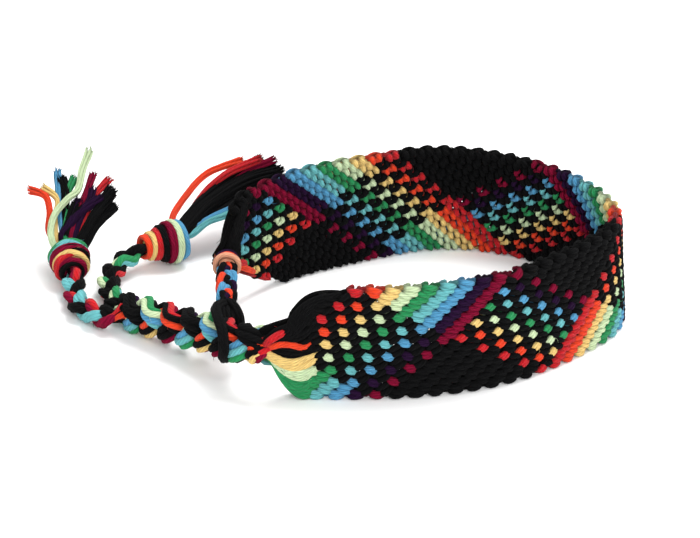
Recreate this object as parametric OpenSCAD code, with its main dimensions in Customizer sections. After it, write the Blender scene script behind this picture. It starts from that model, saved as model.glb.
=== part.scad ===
/* [Band] */
// Width of the knotted band, from its lower edge to its upper edge
band_w = 20; // [18:0.5:22]
// Thickness of the knotted band
band_t = 2.4; // [1.8:0.1:3]
// Length along the band of one scallop of its edge, which is two rows of knots
scallop_l = 3.1; // [2.5:0.1:4]
// Depth of the notch between two scallops
scallop_d = 0.4; // [0.1:0.05:0.6]
/* [Tie braid] */
// Sideways swing of a strand of the thick tie braid, from its middle line
tie_swing = 2.5; // [2.4:0.05:2.7]
// Swing of a strand of the thick tie braid through the braid's thickness
tie_depth = 1.7; // [1.65:0.05:1.9]
// Radius of a strand of the thick tie braid
tie_r = 0.88; // [0.6:0.02:0.9]
// Length in which a strand of the thick tie braid swings over and back
tie_pitch = 14.2; // [14:0.2:18]
/* [Thin braids] */
// Sideways swing of a strand of a thin braid, from its middle line
thin_swing = 1.4; // [1.35:0.05:1.5]
// Swing of a strand of a thin braid through the braid's thickness
thin_depth = 0.95; // [0.9:0.05:1.1]
// Radius of a strand of a thin braid
thin_r = 0.52; // [0.3:0.02:0.54]
// Length in which a strand of a thin braid swings over and back
thin_pitch = 9.4; // [9:0.2:12]
// Radius of the closed loop that the tie braid passes through
eye_r = 0.95; // [0.6:0.05:1]
/* [Knots and tassels] */
// Diameter of one turn of yarn on a wrapped knot
wrap_d = 1.3; // [1.2:0.05:1.5]
// Radius of one lock of a tassel
lock_r = 0.6; // [0.4:0.05:0.7]
/* [Hidden] */

// The band's middle line on the surface: where its front tip stands, which way it sets off,
// and arcs with columns [length, turn to the left, lean of the upper edge towards the inside]
band_start = [-7.6, -34.5];
band_heading = -4;
band_arcs = [
    [15.5, 5, 1], [15.5, 16, 2], [15.5, 23, 3], [15.5, 11, 4], [15.5, 56, 4], [15.5, 27, 3],
    [15.5, 27, 1], [15.5, 41, -3], [15.5, 7, -5], [15.5, 26, -3], [8.3, -9, -1]
];
// The two tips, with columns [distance from the tip, lower edge, upper edge],
// both edges as shares of the band's width
front_tip = [
    [0, 0.32, 0.58], [1.5, 0.27, 0.63], [3, 0.18, 0.72], [4.5, 0.08, 0.83], [6, 0, 0.89], [8, 0, 0.94],
    [12, 0, 0.97], [14, 0, 1]
];
far_tip = [
    [0, 0.42, 0.6], [1.5, 0.38, 0.78], [3.5, 0.33, 0.94], [5.5, 0.25, 1], [9, 0.12, 1], [13, 0.05, 1],
    [16, 0, 1]
];
// Share of the band's thickness that is flat along its edges, and how far in the edges are drawn thinner
edge_flat = 0.5;
edge_round = 1.2;

// Routes of the braids' middle lines, about evenly spaced points [x, y, z]
tie_route = [
    [-9.1, -34.5, 9.6], [-12.4, -31.8, 8.3], [-15.5, -27.6, 7.2], [-18.6, -23.9, 6.4],
    [-22.1, -20.3, 5.4], [-25.7, -16.3, 4.6], [-29.2, -13, 3.9], [-32.4, -10.4, 3.5]
];
left_route = [
    [-35, -11.4, 2.6], [-38.2, -8.6, 2.2], [-41.2, -4.8, 2.2], [-42.3, -0.3, 2.3], [-42.9, 4.2, 3.1]
];
right_route = [
    [-32.7, -7.8, 2.9], [-35, -4.1, 2.5], [-36.3, 0.6, 2.4], [-36.6, 5.4, 2.5],
    [-35.2, 9.8, 3.1], [-32.4, 13.4, 3.9]
];
loop_route = [[-15.5, -6.8, 9.9], [-15.4, -10.4, 9.8], [-15.2, -14, 9.8], [-15, -17.4, 10]];
// Roll of each braid's flat side at its first and last point, from level
tie_roll = [62, 94];
left_roll = [30, 20];
right_roll = [30, 20];
loop_roll = [20, 20];
// The closed loop round the tie braid, first point where the loop braid meets it
eye_route = [
    [-15.2, -19.6, 10.4], [-16.6, -24.4, 11.6], [-16.2, -29.8, 12], [-15.3, -33.6, 10.8],
    [-15.2, -35, 8], [-15.4, -33.2, 4.8], [-14.6, -29.4, 3.2], [-13.3, -26, 3.8],
    [-12.5, -24.2, 6.4], [-12.6, -22.9, 9.2], [-13.9, -20.4, 10.4]
];

// Wrapped knots: where each begins, its axis, and its turns of yarn
// with columns [distance along the axis, outer radius]
loop_knot_at = [-15.6, -3.8, 9.9];
loop_knot_axis = [0.05, -1, 0];
loop_knot_turns = [[0.65, 2.4], [1.7, 2.5]];
left_knot_at = [-43.1, 5.2, 3.3];
left_knot_axis = [-0.23, 0.93, 0.3];
left_knot_turns = [[0.65, 2.5], [1.65, 3.1], [2.65, 3.5], [3.65, 3.8], [4.65, 3.6]];
right_knot_at = [-31.7, 14.2, 4.2];
right_knot_axis = [0.9, 0.43, 0.03];
right_knot_turns = [
    [0.65, 2.4], [1.7, 2.7], [2.8, 3.1], [3.9, 3.5], [5, 3.9], [6.1, 4.1], [7.2, 3.7]
];

// Locks of the tassels, each a route that sets out from the tassel's head
left_locks = [
    [[-45.6, 12.6, 6.4], [-48, 14, 8], [-48, 16.5, 10.5], [-49, 18.5, 12.5], [-52.3, 20, 13]],
    [[-45.2, 12.4, 6.4], [-47, 14.5, 9], [-46.5, 17.5, 11.5], [-47.5, 19, 12.5], [-49.5, 20, 13.5]],
    [[-45, 12.2, 6.6], [-46, 15.5, 10], [-46.5, 18.5, 12], [-47, 23, 15.5]],
    [[-45.6, 12.2, 6.2], [-47.2, 14.5, 8.8], [-45, 18, 12], [-43, 19.5, 13], [-42.5, 23, 15.5],
     [-41.5, 26.5, 18]],
    [[-44.4, 12.2, 6.4], [-45, 15, 9.5], [-45, 19, 12.5], [-44, 22, 14.5]],
    [[-44.2, 12.2, 6.2], [-42.5, 16.5, 11], [-41.5, 19.5, 13], [-40.5, 22.5, 15]],
    [[-44, 12.2, 6], [-42, 14, 8.5], [-40.5, 18, 12], [-37.5, 21.5, 14.5]],
    [[-43.8, 12.2, 5.6], [-40.5, 14.5, 9], [-38.5, 17, 11], [-36.5, 20, 13]],
    [[-43.8, 12, 5.2], [-40, 13.5, 8.5], [-38, 16, 10], [-36, 17.5, 11.5]]
];
right_locks = [
    [[-23.6, 19, 5.8], [-23.2, 24.5, 8.6], [-20.5, 30, 11], [-18, 33, 12], [-14.5, 36.5, 12]],
    [[-23.2, 18.8, 5.8], [-21.5, 25, 8.5], [-16.5, 30.5, 11], [-11, 35.4, 12.8]],
    [[-23, 18.6, 5.4], [-21, 24.5, 7.6], [-14.5, 30, 10.2], [-9, 33.5, 12]],
    [[-22.8, 18.4, 4.8], [-19.5, 24, 7.2], [-13, 29.5, 10], [-7, 32, 11.5]],
    [[-23.2, 18.6, 5.6], [-22, 26, 9.4], [-19, 30.5, 11.4], [-10.5, 34, 12.8]],
    [[-22.8, 18.4, 5], [-20, 25, 8], [-13.5, 30.6, 11], [-9, 34.4, 12.8]],
    [[-22.8, 18.2, 4.6], [-18.6, 23, 6.6], [-12, 28.4, 9], [-8, 31, 10.4]],
    [[-22.6, 18, 4.6], [-20.5, 21, 6.2], [-17, 23, 7.3], [-13.5, 25, 8.5]],
    [[-22.6, 17.8, 4.3], [-20, 20.2, 5.6], [-17, 22, 6.6], [-13, 24, 7.6]]
];

// Radius of a tassel's head, and the gap between it and its knot
head_r = 1.7;
knot_gap = 0.3;

// How finely the shapes are drawn
rings_per_pitch = 14;
strand_sides = 8;
lock_sides = 6;

function unit(v) = v / norm(v);
function mix(a, b, f) = a + (b - a) * f;

// Value of a column at x in a table whose first column rises
function look(table, x, column, i = 0) =
    x <= table[0][0] ? table[0][column] :
    i >= len(table) - 1 ? table[i][column] :
    x > table[i + 1][0] ? look(table, x, column, i + 1) :
    mix(table[i][column], table[i + 1][column], (x - table[i][0]) / (table[i + 1][0] - table[i][0]));

// Point at u on a smooth curve through a route, where u counts its points;
// a closed route runs on from its last point to its first
function spline(route, u, closed = false) =
    let (n = len(route), last = closed ? n : n - 1,
         i = min(floor(u), last - 1), f = u - i,
         b = route[i], c = route[(i + 1) % n],
         a = closed ? route[(i + n - 1) % n] : i > 0 ? route[i - 1] : 2 * b - c,
         d = closed ? route[(i + 2) % n] : i < n - 2 ? route[i + 2] : 2 * c - b)
    b + 0.5 * f * ((c - a) + f * ((2 * a - 5 * b + 4 * c - d) + f * (3 * b - a - 3 * c + d)));

function route_length(route, i = 0) =
    i >= len(route) - 1 ? 0 : norm(route[i + 1] - route[i]) + route_length(route, i + 1);

// Middle of one strand of a three-strand braid at u along the braid's route
function braid_point(route, roll, u, turn, swing, depth) =
    let (e = 0.05, n = len(route) - 1,
         along = unit(spline(route, min(u + e, n)) - spline(route, max(u - e, 0))),
         level = unit(cross(along, [0, 0, 1])), rise = cross(level, along),
         r = mix(roll[0], roll[1], u / n),
         side = cos(r) * level + sin(r) * rise,
         out = cos(r) * rise - sin(r) * level)
    spline(route, u) + side * swing * sin(turn) + out * depth * sin(2 * turn);

function strand_points(route, roll, strand, swing, depth, pitch) =
    let (l = route_length(route), steps = round(l / pitch * rings_per_pitch))
    [for (i = [0:steps])
        braid_point(route, roll, i / steps * (len(route) - 1), 360 * (i / steps * l / pitch + strand / 3),
                    swing, depth)];

// Directions along a row of points, and directions across it that don't turn about it;
// face_to is a direction that no stretch runs along
function along_points(points, closed) = let (n = len(points))
    [for (i = [0:n - 1]) unit(points[closed ? (i + 1) % n : min(i + 1, n - 1)]
                              - points[closed ? (i + n - 1) % n : max(i - 1, 0)])];
function across_points(along, face_to, closed) = let (n = len(along))
    [for (i = 0, x = face_to; i < n; i = i + 1,
          x = i < n ? unit((closed ? face_to : x) - ((closed ? face_to : x) * along[i]) * along[i]) : x)
        i == 0 ? unit(x - (x * along[0]) * along[0]) : x];
function ring(middle, along, across, r, sides) = let (y = cross(across, along))
    [for (k = [0:sides - 1]) middle + r * (cos(360 * k / sides) * across + sin(360 * k / sides) * y)];
// Triangles between the rings of a skin, and flat ends where it is open
function skin_faces(rings, sides, closed) = concat(
    [for (i = [0:closed ? rings - 1 : rings - 2], k = [0:sides - 1], half = [0, 1])
        let (a = i * sides, b = (i + 1) % rings * sides, m = (k + 1) % sides)
        half == 0 ? [a + k, b + k, b + m] : [a + k, b + m, a + m]],
    closed ? [] : [[for (k = [0:sides - 1]) k], [for (k = [sides - 1:-1:0]) (rings - 1) * sides + k]]);

// Round bar along a row of points
module bar(points, r, sides, face_to, closed = false) {
    along = along_points(points, closed);
    across = across_points(along, face_to, closed);
    rings = [for (i = [0:len(points) - 1]) each ring(points[i], along[i], across[i], r, sides)];
    polyhedron(rings, skin_faces(len(points), sides, closed), 10);
}

module strand(route, roll, number, swing, depth, r, pitch, face_to) {
    bar(strand_points(route, roll, number, swing, depth, pitch), r, strand_sides, face_to);
}

// Length of the arcs before arc i, and the heading there
function arc_from(i) = i == 0 ? 0 : arc_from(i - 1) + band_arcs[i - 1][0];
function heading_at(i) = i == 0 ? band_heading : heading_at(i - 1) + band_arcs[i - 1][1];
function chord(l, turn, from) =
    let (reach = abs(turn) < 0.01 ? l : 2 * l / (turn * PI / 180) * sin(turn / 2))
    reach * [cos(from + turn / 2), sin(from + turn / 2)];
function arc_at(i) = i == 0 ? band_start
    : arc_at(i - 1) + chord(band_arcs[i - 1][0], band_arcs[i - 1][1], heading_at(i - 1));
arc_s = [for (i = [0:len(band_arcs)]) arc_from(i)];
arc_h = [for (i = [0:len(band_arcs)]) heading_at(i)];
arc_p = [for (i = [0:len(band_arcs)]) arc_at(i)];
band_l = arc_s[len(band_arcs)];
function arc_index(s, i = 0) = i >= len(band_arcs) - 1 || s < arc_s[i + 1] ? i : arc_index(s, i + 1);
function band_at(s) = let (i = arc_index(s), f = (s - arc_s[i]) / band_arcs[i][0])
    arc_p[i] + chord(s - arc_s[i] + 0.0001, band_arcs[i][1] * f, arc_h[i]);
function band_turn_at(s) = let (i = arc_index(s), f = (s - arc_s[i]) / band_arcs[i][0])
    arc_h[i] + band_arcs[i][1] * f;
function lean_at(s) = let (i = arc_index(s), f = (s - arc_s[i]) / band_arcs[i][0])
    mix(i == 0 ? 0 : band_arcs[i - 1][2], band_arcs[i][2], f);

// Section of the band at s: its lower and upper edge, each drawn in by the scallops' notch
function band_section(s, notch) =
    let (low = max(look(front_tip, s, 1), look(far_tip, band_l - s, 1)) * band_w + notch,
         high = min(look(front_tip, s, 2), look(far_tip, band_l - s, 2)) * band_w - notch,
         h = band_turn_at(s), lean = lean_at(s), inside = [-sin(h), cos(h)],
         half = band_t / 2, flat = half * edge_flat, tall = high - low,
         outline = [[-flat, 0], [flat, 0], [half, edge_round], [half, tall - edge_round],
                    [flat, tall], [-flat, tall], [-half, tall - edge_round], [-half, edge_round]])
    [for (q = outline)
        let (z = low + q[1], p = band_at(s) + inside * (q[0] + (z - band_w / 2) * sin(lean)))
        [p[0], p[1], z]];

module band() {
    scallops = round(band_l / scallop_l);
    stations = concat([0.001], [for (i = [0:scallops - 1], f = [0.22, 0.78, 1]) (i + f) / scallops * band_l]);
    notches = concat([scallop_d], [for (i = [0:scallops - 1], f = [0, 0, 1]) f * scallop_d]);
    n = len(stations);
    sides = 8;
    points = [for (i = [0:n - 1]) each band_section(stations[i], notches[i])];
    color([0.12, 0.13, 0.14]) polyhedron(points, skin_faces(n, sides, false), 10);
}

// Turns an upright shape to stand along an axis
module stand_along(at, axis) {
    translate(at) rotate([0, acos(unit(axis)[2]), atan2(axis[1], axis[0])]) children();
}

// Knot of yarn turned round an axis, solid to the middle
module wrapped_knot(at, axis, turns) {
    n = len(turns) - 1;
    stand_along(at, axis) rotate_extrude($fn = 48) {
        for (t = turns) translate([t[1] - wrap_d / 2, t[0]]) circle(d = wrap_d, $fn = 24);
        polygon(concat([[0, turns[0][0] - wrap_d / 2]], [for (t = turns)
            each t == turns[0] ? [[t[1] - wrap_d / 2, t[0] - wrap_d / 2], [t[1] - wrap_d / 2, t[0]]]
                               : [[t[1] - wrap_d / 2, t[0]]]],
            [[turns[n][1] - wrap_d / 2, turns[n][0] + wrap_d / 2], [0, turns[n][0] + wrap_d / 2]]));
    }
}

module loop_knot() {
    color([0.93, 0.62, 0.42]) wrapped_knot(loop_knot_at, loop_knot_axis, loop_knot_turns);
}

module loop_strand(number) {
    color([[0.25, 0.6, 0.9], [0.9, 0.25, 0.1], [0.1, 0.1, 0.12]][number - 1])
        strand(loop_route, loop_roll, number, thin_swing, thin_depth, thin_r, thin_pitch, [0, 0, 1]);
}

module loop_eye() {
    steps = 44;
    color([0.1, 0.1, 0.12])
        bar([for (i = [0:steps - 1]) spline(eye_route, i / steps * len(eye_route), true)],
            eye_r, strand_sides, [1, 0.15, 0], true);
}

module tie_strand(number) {
    color([[0.25, 0.65, 0.6], [0.85, 0.2, 0.1], [0.1, 0.1, 0.12]][number - 1])
        strand(tie_route, tie_roll, number, tie_swing, tie_depth, tie_r, tie_pitch, [0, 0, 1]);
}

module left_braid_strand(number) {
    color([[0.5, 0.8, 0.8], [0.75, 0.1, 0.15], [0.1, 0.1, 0.12]][number - 1])
        strand(left_route, left_roll, number, thin_swing, thin_depth, thin_r, thin_pitch, [0, 0, 1]);
}

module right_braid_strand(number) {
    color([[0.1, 0.1, 0.12], [0.2, 0.55, 0.35], [0.55, 0.1, 0.2]][number - 1])
        strand(right_route, right_roll, number, thin_swing, thin_depth, thin_r, thin_pitch, [0, 0, 1]);
}

module left_knot() {
    color([0.2, 0.6, 0.35]) wrapped_knot(left_knot_at, left_knot_axis, left_knot_turns);
}

module right_knot() {
    color([0.85, 0.25, 0.15]) wrapped_knot(right_knot_at, right_knot_axis, right_knot_turns);
}

// Far end of a wrapped knot, a distance past its last turn
function past_knot(at, axis, turns, gap) =
    at + unit(axis) * (turns[len(turns) - 1][0] + wrap_d / 2 + gap);

// Yarn ends that leave a round head, which sits just past a wrapped knot
module tassel(at, axis, turns, locks) {
    head = past_knot(at, axis, turns, knot_gap + head_r);
    translate(head) sphere(r = head_r, $fn = 12);
    for (lock = locks) {
        points = concat([head], lock);
        for (i = [0:len(points) - 2])
            hull() {
                translate(points[i]) sphere(r = lock_r, $fn = lock_sides);
                translate(points[i + 1]) sphere(r = lock_r, $fn = lock_sides);
            }
    }
}

module left_tassel() {
    color([0.75, 0.85, 0.65]) tassel(left_knot_at, left_knot_axis, left_knot_turns, left_locks);
}

module right_tassel() {
    color([0.12, 0.12, 0.13]) tassel(right_knot_at, right_knot_axis, right_knot_turns, right_locks);
}

band();
loop_knot();
loop_strand(1);  // loop_strand_1
loop_strand(2);  // loop_strand_2
loop_strand(3);  // loop_strand_3
loop_eye();
tie_strand(1);  // tie_strand_1
tie_strand(2);  // tie_strand_2
tie_strand(3);  // tie_strand_3
left_braid_strand(1);  // left_braid_strand_1
left_braid_strand(2);  // left_braid_strand_2
left_braid_strand(3);  // left_braid_strand_3
right_braid_strand(1);  // right_braid_strand_1
right_braid_strand(2);  // right_braid_strand_2
right_braid_strand(3);  // right_braid_strand_3
left_knot();
right_knot();
left_tassel();
right_tassel();
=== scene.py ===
"""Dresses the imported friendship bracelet: a band of eighteen knotted yarns, braids, wrapped knots and tassels."""
import math

import bpy
import numpy as np
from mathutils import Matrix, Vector


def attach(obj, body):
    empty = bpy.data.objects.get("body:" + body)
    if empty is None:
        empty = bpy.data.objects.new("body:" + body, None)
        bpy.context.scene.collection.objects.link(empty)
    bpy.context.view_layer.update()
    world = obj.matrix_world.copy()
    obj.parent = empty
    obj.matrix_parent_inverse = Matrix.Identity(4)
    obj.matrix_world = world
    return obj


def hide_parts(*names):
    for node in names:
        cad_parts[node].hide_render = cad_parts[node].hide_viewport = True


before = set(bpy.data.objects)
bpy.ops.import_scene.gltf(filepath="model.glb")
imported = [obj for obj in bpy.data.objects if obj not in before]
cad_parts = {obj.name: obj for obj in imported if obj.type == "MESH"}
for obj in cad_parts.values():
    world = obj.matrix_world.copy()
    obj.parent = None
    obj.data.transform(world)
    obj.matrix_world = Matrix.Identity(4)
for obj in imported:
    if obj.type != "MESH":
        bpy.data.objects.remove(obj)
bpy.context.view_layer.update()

bl_info = {
    "name": "Friendship Bracelet",
    "version": (1, 0, 0),
    "blender": (4, 5, 0),
    "location": "3D View > Sidebar > Bracelet",
    "description": "Makes a knotted cotton bracelet with braided ties",
    "category": "Add Mesh",
}

MM = 0.001

# The band's middle line as in the part's source, in millimetres and degrees:
# arcs with columns (length, turn to the left, lean of the upper edge towards the inside)
BAND_START = (-7.6, -34.5)
BAND_HEADING = -4
BAND_ARCS = (
    (15.5, 5, 1), (15.5, 16, 2), (15.5, 23, 3), (15.5, 11, 4), (15.5, 56, 4), (15.5, 27, 3),
    (15.5, 27, 1), (15.5, 41, -3), (15.5, 7, -5), (15.5, 26, -3), (8.3, -9, -1),
)
BAND_W = 20
STRINGS = 18
# The two tips with columns (distance from the tip, lower edge, upper edge), edges as shares of the width
FRONT_TIP = (
    (0, 0.32, 0.58), (1.5, 0.27, 0.63), (3, 0.18, 0.72), (4.5, 0.08, 0.83), (6, 0, 0.89), (8, 0, 0.94),
    (12, 0, 0.97), (14, 0, 1),
)
FAR_TIP = (
    (0, 0.42, 0.6), (1.5, 0.38, 0.78), (3.5, 0.33, 0.94), (5.5, 0.25, 1), (9, 0.12, 1), (13, 0.05, 1), (16, 0, 1),
)
# How far along a row of knots slants as it climbs, in rows for each place across, at some rows
ROW_SLANT = ((6, -0.09), (33, -0.21), (60, -0.13), (87, -0.19), (114, -0.05))
FIRST_ROW, LAST_ROW = 5, 114
# The row at the front tip, and the distances between rows along the band and between places across it
TIP_ROW = 6
ROW_STEP = 1.5585
PLACE_STEP = 1.13
MIDDLE_PLACE = (STRINGS - 1) / 2
MIDDLE_Z = 9.85

# Routes of the braids' middle lines, in millimetres
TIE_ROUTE = (
    (-9.1, -34.5, 9.6), (-12.4, -31.8, 8.3), (-15.5, -27.6, 7.2), (-18.6, -23.9, 6.4),
    (-22.1, -20.3, 5.4), (-25.7, -16.3, 4.6), (-29.2, -13, 3.9), (-32.4, -10.4, 3.5),
)
LEFT_ROUTE = ((-35, -11.4, 2.6), (-38.2, -8.6, 2.2), (-41.2, -4.8, 2.2), (-42.3, -0.3, 2.3), (-42.9, 4.2, 3.1))
RIGHT_ROUTE = (
    (-32.7, -7.8, 2.9), (-35, -4.1, 2.5), (-36.3, 0.6, 2.4),
    (-36.6, 5.4, 2.5), (-35.2, 9.8, 3.1), (-32.4, 13.4, 3.9),
)
LOOP_ROUTE = ((-15.5, -6.8, 9.9), (-15.4, -11, 9.8), (-15.2, -15.2, 9.8), (-15, -19.2, 10))
EYE_ROUTE = (
    (-15.2, -21.4, 10.4), (-16.4, -25.4, 11.5), (-15.9, -29.8, 11.9), (-15, -33.4, 10.9),
    (-14.8, -34.6, 8.5), (-15, -33, 6.2), (-14.4, -29.4, 4.6), (-13.4, -26.2, 4.9),
    (-12.7, -24.6, 6.8), (-12.8, -23.7, 9.1), (-13.9, -21.9, 10.4),
)
# Yarns inside the eye that end behind the tie braid
EYE_YARNS = (
    ((-15.6, -19.3, 10.2), (-15.6, -22, 10.4), (-15.4, -24.6, 10.6), (-15.2, -26.7, 9.6)),
    ((-15.2, -19.3, 10), (-14.8, -22, 10.1), (-14.6, -24.4, 10), (-14.5, -26.2, 8.8)),
    ((-14.8, -19.3, 9.8), (-14.1, -21.8, 9.9), (-13.8, -23.8, 9.4), (-13.7, -25.4, 8)),
)
# Roll of each braid's flat side at its first and last point, in degrees from level
TIE_ROLL, THIN_ROLL, LOOP_ROLL = (68, 116), (30, 20), (20, 20)
# How far a strand swings sideways and through the braid, and the length in which it swings over and back
TIE_BRAID = {"swing": 2.0, "depth": 1.3, "pitch": 14.2}
THIN_BRAID = {"swing": 1.1, "depth": 0.8, "pitch": 12.4}
LOOP_BRAID = {"swing": 1.05, "depth": 0.8, "pitch": 11.2}

# The band's coloured yarns in the order of its pattern
COLOURED = ("crimson", "orange_red", "peach", "pale_green", "green", "aqua", "sky_blue", "purple", "maroon")
# All yarns: colour in screen values, and slot name
YARNS = {
    "crimson": ((204, 12, 26), "red_yarn"),
    "orange_red": ((248, 62, 18), "red_yarn"),
    "peach": ((254, 208, 126), "peach_yarn"),
    # Peach yarn with painted shade: a darker, pinker copy of the peach colour, for the loop knot's outer turn
    "salmon": ((240, 168, 132), "peach_yarn"),
    "pale_green": ((212, 234, 186), "green_yarn"),
    "green": ((30, 146, 84), "green_yarn"),
    "aqua": ((106, 190, 194), "blue_yarn"),
    "sky_blue": ((82, 158, 202), "blue_yarn"),
    "purple": ((36, 12, 46), "mixed_yarn"),
    "maroon": ((126, 10, 46), "red_yarn"),
    "black": ((11, 11, 12), "black_yarn"),
}


def linear(rgb):
    """Linear colour of a screen colour with channels from 0 to 255."""
    return tuple(c / 255 / 12.92 if c < 11 else ((c / 255 + 0.055) / 1.055) ** 2.4 for c in rgb)


# ---------------------------------------------------------------- settings


def colour_setting(name):
    return bpy.props.FloatVectorProperty(
        name=name.replace("_", " ").capitalize(), description="Colour of the %s yarn" % name.replace("_", " "),
        subtype="COLOR", size=3, min=0, max=1, default=linear(YARNS[name][0]))


def length_setting(name, description, value, low, high):
    return bpy.props.FloatProperty(
        name=name, description=description, default=value * MM, min=low * MM, max=high * MM,
        subtype="DISTANCE", unit="LENGTH", precision=5)


class BraceletColours(bpy.types.PropertyGroup):
    crimson: colour_setting("crimson")
    orange_red: colour_setting("orange_red")
    peach: colour_setting("peach")
    salmon: colour_setting("salmon")
    pale_green: colour_setting("pale_green")
    green: colour_setting("green")
    aqua: colour_setting("aqua")
    sky_blue: colour_setting("sky_blue")
    purple: colour_setting("purple")
    maroon: colour_setting("maroon")
    black: colour_setting("black")


class BraceletSizes(bpy.types.PropertyGroup):
    knot_yarn: length_setting("Knotted yarn", "Diameter of the yarn in the band's knots", 1.0, 0.7, 1.3)
    braid_yarn: length_setting("Braided yarn", "Diameter of the yarn in the braids", 1.04, 0.7, 1.3)
    wrap_yarn: length_setting("Wrapping yarn", "Diameter of the yarn turned round the knots", 1.26, 0.8, 1.6)
    tassel_yarn: length_setting("Tassel yarn", "Diameter of the loose yarn ends", 1.18, 0.7, 1.4)
    knot_length: length_setting("Knot length", "Length of one knot on the outer face", 2.44, 1.6, 3.0)
    knot_lean: bpy.props.FloatProperty(
        name="Knot lean", description="Slant of a knot against its yarn's way across the band",
        default=math.radians(17), min=0, max=math.radians(40), subtype="ANGLE", unit="ROTATION")
    twist: bpy.props.FloatProperty(
        name="Yarn twist", description="Turns of the yarn's plies for each millimetre", default=0.17, min=0, max=1)
    stray_fibres: bpy.props.IntProperty(
        name="Stray fibres", description="Loose fibres on each yarn of the band", default=70, min=0, max=120)


class BraceletStage(bpy.types.PropertyGroup):
    floor: bpy.props.FloatVectorProperty(
        name="Floor", description="Colour of the floor", subtype="COLOR", size=3, min=0, max=1,
        default=(0.97, 0.97, 0.97))
    sky: bpy.props.FloatProperty(
        name="Sky light", description="Strength of the even light", default=0.66, min=0, max=3)
    lamp: bpy.props.FloatProperty(
        name="Soft box", description="Power of the soft lamp above the bracelet", default=3.2, min=0, max=100,
        subtype="POWER", unit="POWER")
    camera_height: bpy.props.FloatProperty(
        name="Camera height", description="Angle of the camera above the floor", default=math.radians(25),
        min=0, max=math.radians(89), subtype="ANGLE", unit="ROTATION")
    camera_distance: length_setting("Camera distance", "Distance from the camera to the bracelet", 471, 200, 1000)
    lens: bpy.props.FloatProperty(
        name="Lens", description="Focal length of the camera", default=135.3, min=50, max=300,
        subtype="DISTANCE_CAMERA")


# ---------------------------------------------------------------- curves in space


def unit(v):
    return v / np.maximum(np.linalg.norm(v, axis=-1, keepdims=True), 1e-9)


def mixed(a, b, f):
    return a + (b - a) * f


def spline(route, u, closed=False):
    """Points at u on a smooth curve through a route, where u counts its points."""
    route = np.asarray(route, float)
    n = len(route)
    if closed:
        p = np.vstack([route[-1:], route, route[:2]])
    else:
        p = np.vstack([2 * route[:1] - route[1:2], route, 2 * route[-1:] - route[-2:-1]])
    i = np.clip(np.floor(u).astype(int), 0, (n if closed else n - 1) - 1)
    f = (np.asarray(u) - i)[:, None]
    a, b, c, d = p[i], p[i + 1], p[i + 2], p[i + 3]
    return b + 0.5 * f * ((c - a) + f * ((2 * a - 5 * b + 4 * c - d) + f * (3 * b - a - 3 * c + d)))


def smooth_route(route, between, closed=False):
    """A smooth curve through a route with so many points between each two."""
    route = np.asarray(route, float)
    n = len(route) if closed else len(route) - 1
    u = np.arange(n * between + (0 if closed else 1)) / between
    return spline(route, u, closed)


def route_length(route):
    return float(np.linalg.norm(np.diff(np.asarray(route, float), axis=0), axis=1).sum())


def chord(length, turn, heading):
    """Step from an arc's start to its end, for its length, its turn and the heading at its start."""
    reach = 2 * length / turn * math.sin(turn / 2) if turn else 0.0
    return reach * np.array((math.cos(heading + turn / 2), math.sin(heading + turn / 2)))


class BandLine:
    """The band's middle line: arcs laid end to end, and straight on past both tips."""

    def __init__(self):
        self.s, self.h, self.p = [0.0], [math.radians(BAND_HEADING)], [np.array(BAND_START, float)]
        for length, turn, _ in BAND_ARCS:
            turn = math.radians(turn)
            self.p.append(self.p[-1] + chord(length, turn, self.h[-1]))
            self.s.append(self.s[-1] + length)
            self.h.append(self.h[-1] + turn)
        self.length = self.s[-1]
        self.lean = [0] + [math.radians(a[2]) for a in BAND_ARCS]

    def place(self, s, z, out):
        """Point at a distance along the band, a height and a distance out of its middle, towards the outer face."""
        within = min(max(s, 0.0), self.length)
        i = min(int(np.searchsorted(self.s, within, side="right")) - 1, len(BAND_ARCS) - 1)
        length, turn = BAND_ARCS[i][0], math.radians(BAND_ARCS[i][1])
        f = (within - self.s[i]) / length
        heading = self.h[i] + turn * f
        x, y = self.p[i] + chord(length * f, turn * f, self.h[i])
        x += (s - within) * math.cos(heading)
        y += (s - within) * math.sin(heading)
        inside = (z - BAND_W / 2) * math.sin(mixed(self.lean[i], self.lean[i + 1], f)) - out
        return (x - math.sin(heading) * inside, y + math.cos(heading) * inside, z)


LINE = BandLine()


def edges_at(s):
    """Heights of the band's lower and upper edge at a distance along it."""
    front, far = np.array(FRONT_TIP), np.array(FAR_TIP)
    back = LINE.length - s
    low = max(np.interp(s, front[:, 0], front[:, 1]), np.interp(back, far[:, 0], far[:, 1]))
    high = min(np.interp(s, front[:, 0], front[:, 2]), np.interp(back, far[:, 0], far[:, 2]))
    return low * BAND_W, high * BAND_W


# ---------------------------------------------------------------- yarn meshes


# Painted shade: up to which distance from the band's middle a place is shut off from the light and painted darkest,
# over which distance it opens, and how much sooner it does so on the inner face
SHUT_WITHIN, OPENS_OVER, INNER_LIFT = 0.25, 0.9, 1.25
# How far a yarn's end bulges, as a share of its radius
END_BULGE = 0.45
# Margins of the flat layout: beside each row, as a share of its height, and at the left and right of the whole
ROW_MARGIN, SIDE_MARGIN = 0.06, 0.001
# Loose fibres: how far they reach, where they bend as a share of that, their radius at the start, the bend
# and the end, and how high above the floor they stay, in millimetres
FIBRE_REACH, FIBRE_BEND, FIBRE_RADIUS, FIBRE_LOWEST = (0.4, 1.1), 0.45, (0.045, 0.035, 0.015), 0.05
# First random seed of each group of pieces
SEEDS = {"band": 100, "tips": 150, "tie": 200, "left": 300, "right": 310, "loop": 400, "eye": 410, "knots": 500,
         "tassels": 600}


def chance(group, number=0):
    """Random numbers of one piece of a group, the same in each run."""
    return np.random.default_rng(SEEDS[group] + number)


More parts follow.
